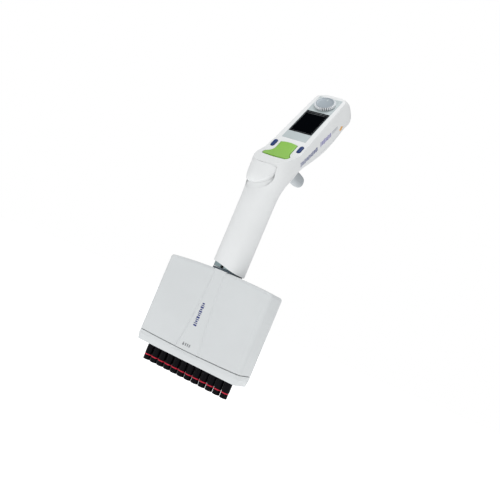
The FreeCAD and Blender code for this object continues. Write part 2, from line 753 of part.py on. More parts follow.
def cylinder_block():
    block = fuse([box(-58.6, 58.6, -8, 8, 38, BLOCK_TOP), box(-54.5, 54.5, -8, 8, BLOCK_Z, 38)])
    block = block.fuse(box(-50, 50, -13.65, 13.65, 40, 46))
    cuts = []
    for x in channel_x():
        cuts.append(cyl(BORE_R, BORE_FLOOR, BLOCK_TOP + 1, x))
        cuts.append(cyl(STEM_R + FIT, BLOCK_Z - 1, BORE_FLOOR + 1, x))
        cuts.append(cyl(4.2, BLOCK_TOP - 3.0, BLOCK_TOP + 1, x))
    cuts += [cyl(POST_R + 0.02, BLOCK_TOP - 4.5, BLOCK_TOP + 1, s * POST_X) for s in (-1, 1)]
    cuts += [cyl_y(1.15, -10, 10, x, z) for x, z in cover_screw_places()]
    return block.cut(fuse_all(cuts))


def piston_seals():
    return Part.makeCompound([ring(4.15, PISTON_R + 0.03, BLOCK_TOP - 2.9, BLOCK_TOP - 0.4, x)
                              for x in channel_x()])


def guide_posts():
    return Part.makeCompound([cyl(POST_R, BLOCK_TOP - 4.4, 110.0, s * POST_X) for s in (-1, 1)])


def swivel_neck():
    tube = fuse([cyl(NECK_R, 110.2, 139.0), cyl(9.0, 110.2, 111.7), cyl(16.5, 116.6, 118.3)])
    holes = [cyl(NECK_BORE, 100, 150)]
    holes += [cyl(PIN_R + GAP, 112, 125, 0, s * PIN_Y) for s in (-1, 1)]
    return tube.cut(fuse_all(holes))


def neck_nut():
    hexagon = [Vector(11 * math.cos(math.radians(60 * k)), 11 * math.sin(math.radians(60 * k)), 136.3)
               for k in range(6)]
    nut = Part.Face(Part.makePolygon(hexagon + hexagon[:1])).extrude(Vector(0, 0, 2.6))
    return nut.cut(cyl(NECK_R + 0.02, 130, 145))


def cone_springs():
    return Part.makeCompound([coil(3.0, 0.22, SHANK_TOP + 0.05, BLOCK_Z - 0.05, 4, x) for x in channel_x()])


# --- moving groups of the lower part -----------------------------------------------------------------------
def piston_bar():
    bar = box(-58.0, 58.0, -5.5, 5.5, BAR_Z, BAR_Z + BAR_T)
    bar = rounded(bar, 2.0, lambda e: abs(e.Length - BAR_T) < 0.01)
    return bar.cut(fuse_all([cyl(POST_R + 0.08, 60, 90, s * POST_X) for s in (-1, 1)]))


def pistons():
    rods = []
    for x in channel_x():
        tip = cyl(PISTON_R - 0.5, PISTON_Z, PISTON_Z + 0.6, x)
        rods.append(fuse([cyl(PISTON_R, PISTON_Z + 0.6, BAR_Z, x), tip]))
    return Part.makeCompound(rods)


def drive_spindle():
    """Push rod on the bar with the motor's lead screw pressed into its upper end."""
    foot = cyl(4.6, BAR_Z + BAR_T, BAR_Z + BAR_T + 3.0)
    return fuse([foot, cyl(4.0, BAR_Z + BAR_T, 130.0), cyl(2.5, 129.0, 205.0)])


def strip_body():
    """Ejector strip: the housing's outline with sides that pull in towards the lower edge."""
    low, mid = plan_face(STRIP_TAPER, STRIP_Z), plan_face(0, STRIP_Z + 6)
    lower = Part.makeLoft([low, mid], True, True)
    upper = Part.Face(plan_face(0, STRIP_Z + 6)).extrude(Vector(0, 0, 10))
    return fuse([lower, upper])


def ejector_sleeve():
    below_seam = silhouette(0, 0.9)
    strip = strip_body().cut(below_seam)
    skirt = box(-61.1, 61.1, -13.4, 13.4, STRIP_Z + 4, SKIRT_TOP)
    skirt = rounded(skirt, 3.0, lambda e: abs(e.Length - (SKIRT_TOP - STRIP_Z - 4)) < 0.01)
    cavity = box(-59.9, 59.9, -12.2, 12.2, STRIP_Z + STRIP_FLOOR, SKIRT_TOP + 5)
    cavity = rounded(cavity, 2.0, lambda e: abs(e.Length - (SKIRT_TOP + 5 - STRIP_Z - STRIP_FLOOR)) < 0.01)
    holes = [cyl(SHANK_R + GAP, 0, 30, x) for x in channel_x()]
    slot = box(channel_x()[0], channel_x()[-1], -3, 3, 0, 30)
    return fuse([strip, skirt]).cut(fuse_all([cavity, slot] + holes))


def ejector_frame():
    parts = []
    for s in (-1, 1):
        x0, x1 = sorted((s * 59.9, s * 61.0))
        parts.append(box(x0, x1, -9.8, 9.8, SKIRT_TOP, 109.0))
        y0, y1 = sorted((s * 7.5, s * 12.2))
        parts.append(box(-60.5, 60.5, y0, y1, 106.0, 109.0))
        parts.append(cyl(PIN_R, 108.0, 125.0, 0, s * PIN_Y))
    parts.append(ring(13.0, 8.6, 124.6, 126.2))
    return fuse(parts)


# --- tip cones -----------------------------------------------------------------------------------------
def tip_cone(x):
    shank_z = RING_Z + RING_WIRE + 0.35
    neck = Part.makeCone(LAND_R, SHANK_R, 0.6, Vector(x, 0, shank_z))
    body = [
        cyl(LAND_R, 0.0, shank_z, x),
        neck,
        cyl(SHANK_R, shank_z + 0.6, SHANK_TOP, x),
        cyl(STEM_R, SHANK_TOP, STEM_TOP, x),
        cyl(3.0, BORE_FLOOR + 0.1, BORE_FLOOR + 1.4, x),
    ]
    groove = ring(6.0, RING_SEAT_R, RING_Z - RING_WIRE, RING_Z + RING_WIRE, x)
    cone = fuse(body).cut(groove).cut(cyl(CHANNEL_R, -1, STEM_TOP + 1, x))
    return rounded(cone, 0.5, lambda e: abs(e.BoundBox.ZMax) < 0.01 and e.Length > 15)


def o_ring(x):
    radius = RING_SEAT_R + RING_WIRE - 0.02
    return Part.makeTorus(radius, RING_WIRE - 0.02, Vector(x, 0, RING_Z))


# --- export ------------------------------------------------------------------------------------------
def save(name, shape):
    placed = shape.copy()
    placed.translate(SEAT * -1)
    solids = placed.Solids
    final = solids[0] if len(solids) == 1 else Part.makeCompound(solids)
    if not solids or not final.isValid():
        print("BAD", name, len(solids))
    final.exportStep("parts/" + name + ".step")
    print(name, len(solids), round(final.Volume))


def main():
    os.makedirs("parts", exist_ok=True)
    front_cover, rear_cover = lower_covers()
    nodes = {
        "handle_front_shell": front_shell(),
        "handle_rear_shell": rear_shell(),
        "finger_hook": finger_hook(),
        "display_inlay": display_inlay(),
        "display_window": display_window(),
        "display_module": display_module(),
        "main_board": main_board(),
        "battery_pack": battery_pack(),
        "battery_cover": battery_cover(),
        "motor_stator": motor_stator(),
        "motor_rotor": motor_rotor(),
        "motor_bracket": motor_bracket(),
        "swivel_bush": swivel_bush(),
        "shell_screws": shell_screws(),
        "rocker_pin": rocker_pin(),
        "ejector_spring": ejector_spring(),
        "selection_dial": selection_dial(),
        "rocker": rocker(),
        "softkey_left": softkey(-1),
        "softkey_right": softkey(1),
        "ejector_button": ejector_button(),
        "ejector_rod": ejector_rod(),
        "lower_front_cover": front_cover,
        "lower_rear_cover": rear_cover,
        "cylinder_block": cylinder_block(),
        "piston_seals": piston_seals(),
        "guide_posts": guide_posts(),
        "swivel_neck": swivel_neck(),
        "neck_nut": neck_nut(),
        "cover_screws": cover_screws(),
        "cone_springs": cone_springs(),
        "piston_bar": piston_bar(),
        "pistons": pistons(),
        "drive_spindle": drive_spindle(),
        "ejector_sleeve": ejector_sleeve(),
        "ejector_frame": ejector_frame(),
    }
    for i, x in enumerate(channel_x(), start=1):
        nodes[f"tip_cone_{i:02d}"] = tip_cone(x)
        nodes[f"o_ring_{i:02d}"] = o_ring(x)
    for name, shape in nodes.items():
        save(name, shape)


if __name__ == "__main__":
    main()
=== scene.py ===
import json
import math

import bmesh
import bpy
from mathutils import Matrix, Vector
from mathutils.bvhtree import BVHTree


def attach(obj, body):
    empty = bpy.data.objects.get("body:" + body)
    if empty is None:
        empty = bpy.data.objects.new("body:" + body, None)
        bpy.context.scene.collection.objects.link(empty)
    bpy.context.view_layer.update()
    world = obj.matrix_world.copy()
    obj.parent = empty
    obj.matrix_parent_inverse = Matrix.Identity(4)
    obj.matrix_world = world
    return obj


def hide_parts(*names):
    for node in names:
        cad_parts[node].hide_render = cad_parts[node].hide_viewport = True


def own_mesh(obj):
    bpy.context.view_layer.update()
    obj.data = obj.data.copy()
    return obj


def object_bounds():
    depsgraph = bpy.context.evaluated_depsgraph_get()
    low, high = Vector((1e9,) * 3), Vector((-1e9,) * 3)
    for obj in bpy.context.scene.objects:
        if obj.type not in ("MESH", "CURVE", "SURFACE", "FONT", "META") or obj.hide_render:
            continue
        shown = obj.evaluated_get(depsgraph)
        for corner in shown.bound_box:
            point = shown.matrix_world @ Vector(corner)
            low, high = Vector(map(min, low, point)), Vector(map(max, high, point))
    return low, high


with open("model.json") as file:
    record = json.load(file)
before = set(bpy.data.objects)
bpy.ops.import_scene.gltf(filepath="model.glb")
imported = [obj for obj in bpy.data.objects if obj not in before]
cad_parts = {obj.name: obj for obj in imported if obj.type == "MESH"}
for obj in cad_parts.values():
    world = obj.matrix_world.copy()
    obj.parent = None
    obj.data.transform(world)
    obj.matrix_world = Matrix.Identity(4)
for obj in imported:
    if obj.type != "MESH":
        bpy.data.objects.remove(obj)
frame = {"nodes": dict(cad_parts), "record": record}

CAD_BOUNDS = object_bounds()

MM = 0.001
SEAT = Vector((0.0, 54.0, 238.2))       # row origin in the bench frame, where z = 0 is the end of the cones
PANEL_TILT = math.radians(34.4)
ALONG = Vector((0, math.sin(PANEL_TILT), math.cos(PANEL_TILT)))
OUT = Vector((0, -math.cos(PANEL_TILT), math.sin(PANEL_TILT)))
PANEL_BASE = Vector((0, -14.5, 225.0))


def bench(x, y, z):
    """Row-frame point, in metres, of a bench point in millimetres."""
    return (Vector((x, y, z)) - SEAT) * MM


def panel(x, l, n):
    """Row-frame point of a place on the head: x across, l along, n out of the panel, in millimetres."""
    return (PANEL_BASE + Vector((x, 0, 0)) + ALONG * l + OUT * n - SEAT) * MM


# --- materials ---------------------------------------------------------------------------------------
def principled(name, base, roughness, metallic=0.0, **sockets):
    mat = bpy.data.materials.new(name)
    mat.use_nodes = True
    shader = mat.node_tree.nodes["Principled BSDF"]
    shader.inputs["Base Color"].default_value = (*base, 1)
    shader.inputs["Roughness"].default_value = roughness
    shader.inputs["Metallic"].default_value = metallic
    for socket, value in sockets.items():
        shader.inputs[socket.replace("_", " ")].default_value = value
    return mat, shader


def noise(mat, scale, detail=3.0, stretch=(1, 1, 1)):
    nodes, links = mat.node_tree.nodes, mat.node_tree.links
    where = nodes.new("ShaderNodeTexCoord")
    mapping = nodes.new("ShaderNodeMapping")
    mapping.inputs["Scale"].default_value = stretch
    tex = nodes.new("ShaderNodeTexNoise")
    tex.inputs["Scale"].default_value = scale
    tex.inputs["Detail"].default_value = detail
    links.new(where.outputs["Object"], mapping.inputs["Vector"])
    links.new(mapping.outputs["Vector"], tex.inputs["Vector"])
    return tex


def vary_color(mat, shader, tex, dark, light):
    nodes, links = mat.node_tree.nodes, mat.node_tree.links
    ramp = nodes.new("ShaderNodeValToRGB")
    ramp.color_ramp.elements[0].position = 0.3
    ramp.color_ramp.elements[1].position = 0.7
    ramp.color_ramp.elements[0].color = (*dark, 1)
    ramp.color_ramp.elements[1].color = (*light, 1)
    links.new(tex.outputs["Fac"], ramp.inputs["Fac"])
    links.new(ramp.outputs["Color"], shader.inputs["Base Color"])


def vary_roughness(mat, shader, tex, low, high):
    nodes, links = mat.node_tree.nodes, mat.node_tree.links
    span = nodes.new("ShaderNodeMapRange")
    span.inputs["To Min"].default_value = low
    span.inputs["To Max"].default_value = high
    links.new(tex.outputs["Fac"], span.inputs["Value"])
    links.new(span.outputs["Result"], shader.inputs["Roughness"])


def add_bump(mat, shader, tex, strength, distance):
    nodes, links = mat.node_tree.nodes, mat.node_tree.links
    bump = nodes.new("ShaderNodeBump")
    bump.inputs["Strength"].default_value = strength
    bump.inputs["Distance"].default_value = distance
    links.new(tex.outputs["Fac"], bump.inputs["Height"])
    links.new(bump.outputs["Normal"], shader.inputs["Normal"])


def moulded(name, base, roughness, spread=0.03, grain=2600.0, depth=0.00002, **sockets):
    """Moulded plastic: faint cloudy colour, uneven gloss and a fine spark-eroded grain."""
    mat, shader = principled(name, base, roughness, **sockets)
    cloud = noise(mat, 35.0)
    dark = tuple(c * (1 - spread) for c in base)
    vary_color(mat, shader, cloud, dark, base)
    vary_roughness(mat, shader, noise(mat, 120.0), roughness - 0.05, roughness + 0.06)
    add_bump(mat, shader, noise(mat, grain, 2.0), 0.25, depth)
    return mat


def metal(name, base, roughness, stretch, grain=1500.0):
    """Machined or brushed metal with fine lines along one direction."""
    mat, shader = principled(name, base, roughness, 1.0)
    lines = noise(mat, grain, 4.0, stretch)
    vary_color(mat, shader, lines, tuple(c * 0.86 for c in base), base)
    vary_roughness(mat, shader, lines, roughness - 0.06, roughness + 0.1)
    add_bump(mat, shader, lines, 0.2, 0.00001)
    return mat


MATERIALS = {
    "shell_white": moulded("shell_white", (0.775, 0.785, 0.785), 0.36),
    "housing_white": moulded("housing_white", (0.645, 0.665, 0.67), 0.36),
    "hook_grey": moulded("hook_grey", (0.385, 0.415, 0.435), 0.4),
    "collar_grey": moulded("collar_grey", (0.22, 0.29, 0.30), 0.42),
    # neck_slate is near black: painted shade of the gap between the handle tube and the lower housing
    "neck_slate": moulded("neck_slate", (0.05, 0.075, 0.095), 0.45),
    "silver_trim": moulded("silver_trim", (0.49, 0.545, 0.555), 0.34, 0.05, 3500.0, Metallic=0.2),
    "window_black": moulded("window_black", (0.0015, 0.002, 0.003), 0.16, 0.2, 200.0, 0.000002,
                            Specular_IOR_Level=0.0),
    "rocker_green": moulded("rocker_green", (0.24, 0.515, 0.056), 0.42, 0.08),
    "key_navy": moulded("key_navy", (0.008, 0.034, 0.155), 0.3, 0.1, Specular_IOR_Level=0.2),
    "cone_black": moulded("cone_black", (0.002, 0.002, 0.0035), 0.36, 0.2, Specular_IOR_Level=0.07),
    "ring_red": moulded("ring_red", (0.66, 0.018, 0.05), 0.42, 0.1, Specular_IOR_Level=0.3),
    "spring_steel": metal("spring_steel", (0.55, 0.55, 0.56), 0.3, (1, 1, 8)),
    "metal_grey": metal("metal_grey", (0.48, 0.49, 0.51), 0.32, (1, 8, 1)),
    "inner_plastic": moulded("inner_plastic", (0.10, 0.11, 0.12), 0.45, 0.1),
    "board_green": moulded("board_green", (0.01, 0.09, 0.035), 0.35, 0.2),
    "battery_blue": moulded("battery_blue", (0.02, 0.06, 0.2), 0.25, 0.1),
}
HOUSING = ("lower_front_cover", "lower_rear_cover", "ejector_sleeve")
SLOT_OF = {s["node"]: s["material_slot"] for s in frame["record"]["subparts"]}


def dress(obj, slot):
    obj.data.materials.clear()
    obj.data.materials.append(MATERIALS[slot])


for node, obj in frame["nodes"].items():
    dress(obj, "housing_white" if node in HOUSING else SLOT_OF[node])


# --- mesh helpers --------------------------------------------------------------------------------------
def add_piece(name, points, faces, slot, body, replaces=(), material=None):
    """A piece of the object from row-frame points, riding on a body."""
    mesh = bpy.data.meshes.new(name)
    mesh.from_pydata([tuple(p) for p in points], [], faces)
    work = bmesh.new()
    work.from_mesh(mesh)
    bmesh.ops.remove_doubles(work, verts=work.verts, dist=1e-7)
    bmesh.ops.recalc_face_normals(work, faces=work.faces)
    work.to_mesh(mesh)
    work.free()
    obj = bpy.data.objects.new(name, mesh)
    bpy.context.scene.collection.objects.link(obj)
    mesh.materials.append(MATERIALS[material or slot])
    for polygon in mesh.polygons:
        polygon.use_smooth = True
    if replaces:
        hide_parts(*replaces)
    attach(obj, body)
    return obj


def strip_faces(rows, columns, closed=False):
    """Quads over a grid of rows x columns points; closed joins the last column to the first."""
    faces = []
    span = columns if closed else columns - 1
    for i in range(rows - 1):
        for j in range(span):
            k = (j + 1) % columns
            faces.append((i * columns + j, i * columns + k, (i + 1) * columns + k, (i + 1) * columns + j))
    return faces


def revolve(profile, steps, place, wave=None):
    """Points and quads of a (radius, height) profile turned round an axis; wave(i, angle) scales a radius."""
    points = []
    for i, (radius, height) in enumerate(profile):
        for j in range(steps):
            a = 2 * math.pi * j / steps
            r = radius + (wave(i, a) if wave else 0.0)
            points.append(place(r * math.cos(a), r * math.sin(a), height))
    return points, strip_faces(len(profile), steps, closed=True)


def domed(name, outline, centre, rings, place, slot, body, replaces=()):
    """A cap over a flat outline: rings of (scale, height) step inwards to the centre.

    place(x, l, height) gives the row-frame point, so the cap can follow a curved base.
    """
    count = len(outline)
    points = []
    for scale, height in rings:
        for x, l in outline:
            across = centre[0] + (x - centre[0]) * scale
            along = centre[1] + (l - centre[1]) * scale
            points.append(place(across, along, height))
    faces = strip_faces(len(rings), count, closed=True)
    faces.append(tuple(range(count)))
    top = len(points)
    points.append(place(centre[0], centre[1], rings[-1][1]))
    last = (len(rings) - 1) * count
    for j in range(count):
        faces.append((last + j, last + (j + 1) % count, top))
    return add_piece(name, points, faces, slot, body, replaces)


def arc_points(a, b, c, steps):
    """Points on the circle through three (x, y) points, from a to c."""
    ax, ay, bx, by, cx, cy = *a, *b, *c
    d = 2 * (ax * (by - cy) + bx * (cy - ay) + cx * (ay - by))
    ux = ((ax**2 + ay**2) * (by - cy) + (bx**2 + by**2) * (cy - ay) + (cx**2 + cy**2) * (ay - by)) / d
    uy = ((ax**2 + ay**2) * (cx - bx) + (bx**2 + by**2) * (ax - cx) + (cx**2 + cy**2) * (bx - ax)) / d
    r = math.hypot(ax - ux, ay - uy)
    start, mid, end = (math.atan2(y - uy, x - ux) for x, y in (a, b, c))
    turn = (end - start) % (2 * math.pi)
    if (mid - start) % (2 * math.pi) > turn:
        turn -= 2 * math.pi
    return [(ux + r * math.cos(start + turn * k / steps), uy + r * math.sin(start + turn * k / steps))
            for k in range(steps + 1)]


def oval_outline(x, l, width, length, steps=16):
    """Points round a slot that runs along l."""
    r, reach = width / 2, (length - width) / 2
    points = []
    for end, start in ((1, 0.0), (-1, math.pi)):
        for k in range(steps + 1):
            a = start + math.pi * k / steps
            points.append((x + r * math.cos(a), l + end * reach + r * math.sin(a)))
    return points


# --- control panel pieces --------------------------------------------------------------------------------
CREASE_L = 40.0
DECK_FALL = math.radians(53.2) - PANEL_TILT
ROCKER_HALF = 10.2                 # half width of the straight upper part
ROCKER_LIP_X = 15.4                # half width at the lower lip
ROCKER_WAIST_L = 38.5
ROCKER_CROWN = 0.3                 # fall of the dished top from its middle to its sides
SADDLE_DEPTH = 0.35                # dip across the crease
SADDLE_REACH = 7.0
ROCKER_TOP = [                     # (l, n) of the dished top: upper end, crease, lower end
    (CREASE_L + 18.0, 1.5),
    (CREASE_L + 0.24, 1.46),
    (CREASE_L - 24.0 * math.cos(DECK_FALL) + 2.3 * math.sin(DECK_FALL),
     24.0 * math.sin(DECK_FALL) + 2.3 * math.cos(DECK_FALL)),
]


def rocker_height():
    """Height over the panel of the rocker's dished top, as a function of l."""
    points = arc_points(*ROCKER_TOP, 60)

    def height(l):
        for (l1, n1), (l0, n0) in zip(points, points[1:]):
            if l0 <= l <= l1:
                return n0 + (n1 - n0) * (l - l0) / (l1 - l0)
        return points[0][1] if l > points[0][0] else points[-1][1]

    return height


def rocker_outline():
    """Straight upper part that flares into a wide lower lip with an almost straight edge."""
    upper = ROCKER_HALF
    right = arc_points((upper, 54.2), (0.0, 55.7), (-upper, 54.2), 16)[1:8]
    right.reverse()
    right += [(9.6, 54.4), (10.05, 54.05), (upper, 53.4), (upper, 50.5), (upper, 47.0)]
    right += arc_points((upper, 43.5), (10.7, ROCKER_WAIST_L), (14.8, 30.6), 10)
    right += arc_points((14.8, 30.6), (ROCKER_LIP_X, 27.8), (13.6, 23.6), 8)[1:]
    right += arc_points((13.6, 23.6), (0.0, 22.4), (-13.6, 23.6), 16)[1:8]
    return [(0.0, 55.7)] + right + [(0.0, 22.4)] + [(-x, l) for x, l in reversed(right)]


def make_rocker():
    height = rocker_height()

    def place(x, l, lift):
        across = (x / ROCKER_LIP_X) ** 2
        saddle = SADDLE_DEPTH * math.exp(-((l - CREASE_L) / SADDLE_REACH) ** 2)
        return panel(x, l, height(l) + lift - ROCKER_CROWN * across - saddle * (1 - across))

    edge = [(1.0, -3.4), (1.0, -0.75), (0.992, -0.4), (0.975, -0.16), (0.945, -0.04)]
    rings = edge + [(scale, 0.0) for scale in (0.88, 0.76, 0.62, 0.46, 0.3, 0.15)]
    domed("thumb_rocker", rocker_outline(), (0.0, ROCKER_WAIST_L), rings, place, "rocker_green",
          "rocker_switch", ("rocker",))


KEY_X = 16.2
KEY_L = 49.6
KEY_SIZE = (4.4, 11.6)


def make_keys():
    rings = [(1.0, -3.0), (1.0, 0.45), (0.965, 0.72), (0.9, 0.86), (0.75, 0.96), (0.5, 1.02), (0.25, 1.04)]
    for name, body, node, x in (("left_key_cap", "left_key", "softkey_left", -KEY_X),
                                ("right_key_cap", "right_key", "softkey_right", KEY_X)):
        outline = oval_outline(x, KEY_L, *KEY_SIZE)
        domed(name, outline, (x, KEY_L), rings, panel, "key_navy", body, (node,))


DIAL_L = 134.0
DIAL_TEETH = 34
POINTER_Y = 6.2
TOOTH_RINGS = (                    # inner and outer radius, half width and height of a rim tooth
    (10.0, 11.9, 0.5, 0.75), (10.0, 12.15, 0.5, 1.0), (10.0, 12.15, 0.5, 3.0), (10.0, 11.95, 0.46, 3.5),
    (10.0, 11.4, 0.4, 3.8),
)


def dial_place(x, y, n):
    return panel(x, DIAL_L + y, n)


def make_dial():
    """Silver wheel: a dished top with a finger dimple over a near-black core that carries near-white teeth;
    the white of the teeth is a painted highlight and the black of the core between them is painted shade.
    """
    core = [(0.0, 0.5), (10.4, 0.5), (10.4, 2.9), (10.0, 3.1), (9.6, 2.8), (0.0, 2.8)]
    points, faces = revolve(core, 72, dial_place)
    # the core's near-black colour is painted shade in the gaps between the teeth
    add_piece("dial_core", points, faces, "silver_trim", "dial", (), "dial_gap_painted_shade")

    dish = [(0.0, 2.85), (9.7, 2.85), (10.5, 3.55), (10.4, 3.86), (9.9, 3.92), (9.5, 3.72), (9.1, 3.5)]
    dish += [(7.6, 3.36), (5.0, 3.24), (2.5, 3.17), (0.0, 3.15)]
    points, faces = revolve(dish, 96, dial_place)
    add_piece("dial_wheel", points, faces, "silver_trim", "dial", ("selection_dial",), "dial_silver")

    points, faces = [], []
    for k in range(DIAL_TEETH):
        a = 2 * math.pi * (k + 0.5) / DIAL_TEETH
        start = len(points)
        for inner, outer, half, height in TOOTH_RINGS:
            for r, side in ((outer, -half), (outer, half), (inner, half), (inner, -half)):
                points.append(dial_place(r * math.cos(a) - side * math.sin(a),
                                         r * math.sin(a) + side * math.cos(a), height))
        faces += [tuple(start + v for v in face) for face in strip_faces(len(TOOTH_RINGS), 4, closed=True)]
        faces.append(tuple(start + j for j in range(4)))
        faces.append(tuple(start + 4 * (len(TOOTH_RINGS) - 1) + j for j in range(4)))
    # the teeth's near-white colour is a painted highlight of light on the silver serrations
    teeth = add_piece("dial_teeth", points, faces, "silver_trim", "dial", (), "dial_teeth_painted_highlight")
    for polygon in teeth.data.polygons:
        polygon.use_smooth = False

    rings = [(1.0, 2.9), (1.0, 3.32), (0.8, 3.42), (0.4, 3.45)]
    pointer = oval_outline(0.0, POINTER_Y, 1.2, 4.2, 8)
    domed("dial_pointer", pointer, (0.0, POINTER_Y), rings, dial_place, "silver_trim", "dial")


def flat_mark(name, outline, place, body, slot, material, low=-0.05, high=0.06):
    """A thin print, as a closed slab over a flat outline."""
    count = len(outline)
    points = [place(u, v, low) for u, v in outline] + [place(u, v, high) for u, v in outline]
    faces = strip_faces(2, count, closed=True) + [tuple(range(count)), tuple(range(count, 2 * count))]
    return add_piece(name, points, faces, slot, body, (), material)


def rectangle(x0, x1, y0, y1):
    return [(x0, y0), (x1, y0), (x1, y1), (x0, y1)]


WINDOW_N = 0.2                     # face of the display window


def on_window(x, l, lift):
    return panel(x, l, WINDOW_N + lift)


def make_window_marks():
    """Bezel line round the display area and the double status line under its upper edge."""
    for name, box_ in (
        ("bezel_left", (-13.2, -12.9, 78.0, 117.0)),
        ("bezel_right", (12.95, 13.15, 78.0, 117.0)),
        ("bezel_low", (-12.9, 12.95, 78.0, 78.2)),
        ("status_line_upper", (-12.0, 12.0, 116.0, 116.55)),
        ("status_line_lower", (-11.5, 11.5, 113.6, 113.95)),
    ):
        flat_mark(name, rectangle(*box_), on_window, "handle", "window_black", "lcd_grey", -0.05, 0.03)


# --- fasteners ---------------------------------------------------------------------------------------------
SCREW_HEAD_R = 1.9
SCREW_HEAD_H = 1.4
SCREW_SHANK_R = 0.9
SCREW_RECESS_R = 0.95
SCREW_STEPS = 36
STAR_DEPTH = 0.14                  # how far the star recess swings in and out
STAR_RINGS = (8, 9)                # its rings in the profile
HEAD_SCREW_X = 10.0
HEAD_SCREW_L = (("low", 66.0), ("high", 137.0))
HEAD_SEAT_N = -19.0                # seats of the head's screws, which follow the sloping seam
SEAM_FALL = 0.13
SHANK_END_N = -13.0
TUBE_SCREW_PLACES = [(x, 12.6, 151.0) for x in (-10.6, 10.6)]
TUBE_SCREW_REACH = 11.6
COVER_SCREW_PLACES = [(x, 13.0, z) for x in (-56.3, 56.3) for z in (48.0, 62.0)]
COVER_SCREW = (2.1, 1.0, 25.0)     # radius of the head, radius and reach of the shank


def screw_profile(head_r, shank_r, reach):
    """(radius, height) from the shank's end to the floor of the star recess; the head sits on height 0."""
    top = SCREW_HEAD_H
    shank = [(0.0, -reach), (shank_r - 0.3, -reach), (shank_r, 0.3 - reach), (shank_r, 0.0)]
    head = [(head_r, 0.0), (head_r, top - 0.35), (head_r - 0.1, top - 0.12), (head_r - 0.35, top)]
    recess = [(SCREW_RECESS_R, top), (SCREW_RECESS_R - 0.08, top - 0.8), (0.0, top - 0.9)]
    return shank + head + recess


def star_recess(i, a):
    return STAR_DEPTH * math.cos(6 * a) if i in STAR_RINGS else 0.0


def add_screws(name, places, profile, body, node):
    points, faces = [], []
    for place in places:
        start = len(points)
        some, quads = revolve(profile, SCREW_STEPS, place, star_recess)
        points += some
        faces += [tuple(start + v for v in quad) for quad in quads]
    add_piece(name, points, faces, "metal_grey", body, (node,))


def screw_along_y(x0, y0, z0):
    return lambda u, v, h: bench(x0 + u, y0 + h, z0 + v)


def screw_into_head(x0, l0, seat):
    return lambda u, v, h: panel(x0 + u, l0 + v, seat - h)


def make_screws():
    for name, l in HEAD_SCREW_L:
        seat = HEAD_SEAT_N - SEAM_FALL * l
        profile = screw_profile(SCREW_HEAD_R, SCREW_SHANK_R, SHANK_END_N - seat)
        places = [screw_into_head(x, l, seat) for x in (-HEAD_SCREW_X, HEAD_SCREW_X)]
        add_screws(f"head_screws_{name}", places, profile, "handle", "shell_screws")
    add_screws("tube_shell_screws", [screw_along_y(*place) for place in TUBE_SCREW_PLACES],
               screw_profile(SCREW_HEAD_R, SCREW_SHANK_R, TUBE_SCREW_REACH), "handle", "shell_screws")
    add_screws("cover_star_screws", [screw_along_y(*place) for place in COVER_SCREW_PLACES],
               screw_profile(*COVER_SCREW), "lower_part", "cover_screws")


# --- springs -----------------------------------------------------------------------------------------------
COIL_STEPS = 28
WIRE_SIDES = 10
CHANNELS = 12
PITCH = 9.0
RETURN_SPRING = (2.4, 0.35, 8)     # radius of the coil, radius of the wire, turns
RETURN_PLACE = (0.0, -10.6, 222.4, 204.2)    # x, y, free end, fixed end
CONE_SPRING = (3.0, 0.22, 4)
CONE_SPRING_ENDS = (20.05, 23.95)


def add_spring(name, node, body, size, place):
    """Round-wire coil from a free end to a fixed end."""
    radius, wire, turns = size
    x, y, free_z, fixed_z = place
    steps = COIL_STEPS * turns
    length = abs(fixed_z - free_z)
    rise = math.copysign(length - 2 * wire, fixed_z - free_z)
    points = []
    for j in range(steps + 1):
        a = 2 * math.pi * j / COIL_STEPS
        z = (free_z + fixed_z) / 2 + rise * (j / steps - 0.5)
        for k in range(WIRE_SIDES):
            t = 2 * math.pi * k / WIRE_SIDES
            r = radius + wire * math.cos(t)
            points.append(bench(x + r * math.cos(a), y + r * math.sin(a), z + wire * math.sin(t)))
    faces = strip_faces(steps + 1, WIRE_SIDES, closed=True)
    faces += [tuple(range(WIRE_SIDES)), tuple(steps * WIRE_SIDES + k for k in range(WIRE_SIDES))]
    spring = add_piece(name, points, faces, "spring_steel", body, (node,))
    bench(x, y, fixed_z)
    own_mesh(spring)


def make_springs():
    add_spring("return_spring", "ejector_spring", "handle", RETURN_SPRING,
               RETURN_PLACE)
    for i in range(CHANNELS):
        x = PITCH * (i - (CHANNELS - 1) / 2)
        add_spring(f"cone_spring_{i + 1:02d}", "cone_springs", "lower_part",
                   CONE_SPRING, (x, 0.0, *CONE_SPRING_ENDS))


# --- prints ----------------------------------------------------------------------------------------------
BAND_Y = -17.0
COLUMN_X = -2.2                    # column of bars on the band
COLUMN_TOP = 79.0
DROP = (-6.2, 33.2, 1.15)          # x, z and radius of the small drop
DROP_TIP = 2.6                     # its tip over its middle
SIDE_L = 40.0
SIDE_N = -11.8
SIDE_SLOPE = -0.095


def on_band(x, z, lift):
    return bench(x, BAND_Y - lift, z)


BAR_WIDTHS = (1.3, 0.9, 1.7, 1.1, 1.5, 0.9, 1.2, 1.8, 1.0, 1.4, 0.9, 1.6)
BAR_GAP = 0.85


def bar_row(start, count):
    """Places (from, to) of short bars of uneven width in a row."""
    row = []
    for i in range(count):
        width = BAR_WIDTHS[i % len(BAR_WIDTHS)]
        row.append((start, start + width))
        start += width + BAR_GAP
    return row


